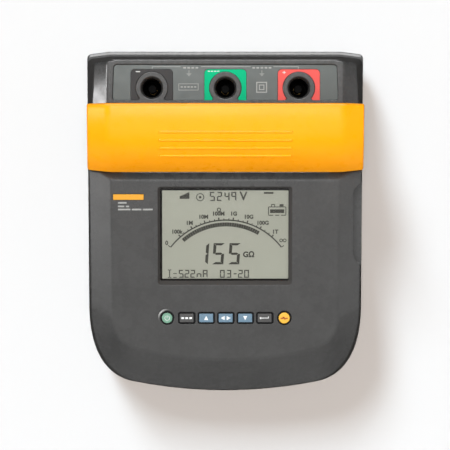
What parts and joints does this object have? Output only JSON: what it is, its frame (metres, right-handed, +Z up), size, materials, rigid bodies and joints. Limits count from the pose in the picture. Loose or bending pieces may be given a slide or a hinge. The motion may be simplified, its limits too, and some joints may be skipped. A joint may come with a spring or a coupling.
{
  "type": "insulation resistance tester",
  "caption": "Portable high-voltage insulation tester: grey two-part case, yellow bridge handle, recessed test sockets, large display and a row of keys.",
  "frame": {"origin": "centre of the footprint, on the plane the feet rest on, with the instrument lying on its back", "axes": "+X to the right for someone reading the display, +Y towards the test sockets, +Z up out of the front face"},
  "size_m": [0.2418, 0.297, 0.17],
  "materials": {
    "case_grey": "dark warm grey, fine spark-eroded texture",
    "panel_grey": "mid grey, smooth satin",
    "handle_yellow": "golden yellow, fine satin texture",
    "seal_black": "matte black",
    "foot_rubber": "matte black, slightly worn",
    "label_black": "smooth satin",
    "label_green": "smooth satin",
    "label_red": "smooth satin",
    "insulator_black": "glossy moulded insulator",
    "brass": "turned and lightly tarnished",
    "steel": "zinc plated",
    "lead_black": "silicone sleeve",
    "lead_green": "silicone sleeve",
    "lead_red": "silicone sleeve",
    "key_green": "satin silicone",
    "key_blue": "satin silicone",
    "key_dark": "satin silicone",
    "key_yellow": "satin silicone",
    "key_mat": "matte silicone",
    "light_pipe": "milky translucent",
    "window_clear": "clear acrylic, glossy",
    "liquid_crystal": "grey-green reflective display cell, satin",
    "backlight_white": "smooth white",
    "circuit_board": "green solder mask",
    "inner_black": "smooth black",
    "badge_yellow": "glossy foil label"
  },
  "bodies": {
    "housing": {"rear_case": "case_grey", "front_case": "case_grey", "case_seal": "seal_black", "handle_shell": "handle_yellow", "handle_liner": "case_grey", "terminal_panel": "panel_grey", "terminal_label_negative": "label_black", "terminal_label_guard": "label_green", "terminal_label_positive": "label_red", "keypad_mat": "key_mat", "keypad_board": "circuit_board", "charge_indicator": "light_pipe", "name_plate": "badge_yellow", "display_window": "window_clear", "liquid_crystal_cell": "liquid_crystal", "display_frame": "inner_black", "backlight": "backlight_white", "display_board": "circuit_board", "battery": "inner_black", "battery_strap": "steel", "strap_screw_1": "steel", "strap_screw_2": "steel", "main_board": "circuit_board", "high_voltage_module": "inner_black", "transformer": "inner_black", "reservoir_capacitor": "inner_black", "buzzer": "inner_black", "charger_board": "circuit_board", "charge_inlet": "insulator_black", "inlet_pin_1": "steel", "inlet_pin_2": "steel", "infrared_window": "insulator_black", "handle_screw_1": "steel", "case_screw_1": "steel", "foot_1": "foot_rubber", "handle_screw_2": "steel", "case_screw_2": "steel", "foot_2": "foot_rubber", "handle_screw_3": "steel", "case_screw_3": "steel", "foot_3": "foot_rubber", "handle_screw_4": "steel", "case_screw_4": "steel", "foot_4": "foot_rubber", "socket_shroud_negative": "insulator_black", "socket_contact_negative": "brass", "high_voltage_lead_negative": "lead_black", "socket_shroud_guard": "insulator_black", "socket_contact_guard": "brass", "high_voltage_lead_guard": "lead_green", "socket_shroud_positive": "insulator_black", "socket_contact_positive": "brass", "high_voltage_lead_positive": "lead_red"},
    "power_key": {"power_key": "key_green"},
    "function_key": {"function_key": "key_dark"},
    "up_key": {"up_key": "key_blue"},
    "left_right_key": {"left_right_key": "key_blue"},
    "down_key": {"down_key": "key_blue"},
    "enter_key": {"enter_key": "key_dark"},
    "test_key": {"test_key": "key_yellow"}
  },
  "joints": [
    {"name": "power_press", "type": "slide", "parent": "housing", "child": "power_key", "axis": [0, 0.1045, -0.9945], "range_m": [0, 0.0012], "stiffness_N_per_m": 900},
    {"name": "function_press", "type": "slide", "parent": "housing", "child": "function_key", "axis": [0, 0.1045, -0.9945], "range_m": [0, 0.0012], "stiffness_N_per_m": 900},
    {"name": "up_press", "type": "slide", "parent": "housing", "child": "up_key", "axis": [0, 0.1045, -0.9945], "range_m": [0, 0.0012], "stiffness_N_per_m": 900},
    {"name": "left_right_press", "type": "slide", "parent": "housing", "child": "left_right_key", "axis": [0, 0.1045, -0.9945], "range_m": [0, 0.0012], "stiffness_N_per_m": 900},
    {"name": "down_press", "type": "slide", "parent": "housing", "child": "down_key", "axis": [0, 0.1045, -0.9945], "range_m": [0, 0.0012], "stiffness_N_per_m": 900},
    {"name": "enter_press", "type": "slide", "parent": "housing", "child": "enter_key", "axis": [0, 0.1045, -0.9945], "range_m": [0, 0.0012], "stiffness_N_per_m": 900},
    {"name": "test_press", "type": "slide", "parent": "housing", "child": "test_key", "axis": [0, 0.1045, -0.9945], "range_m": [0, 0.0012], "stiffness_N_per_m": 900}
  ]
}
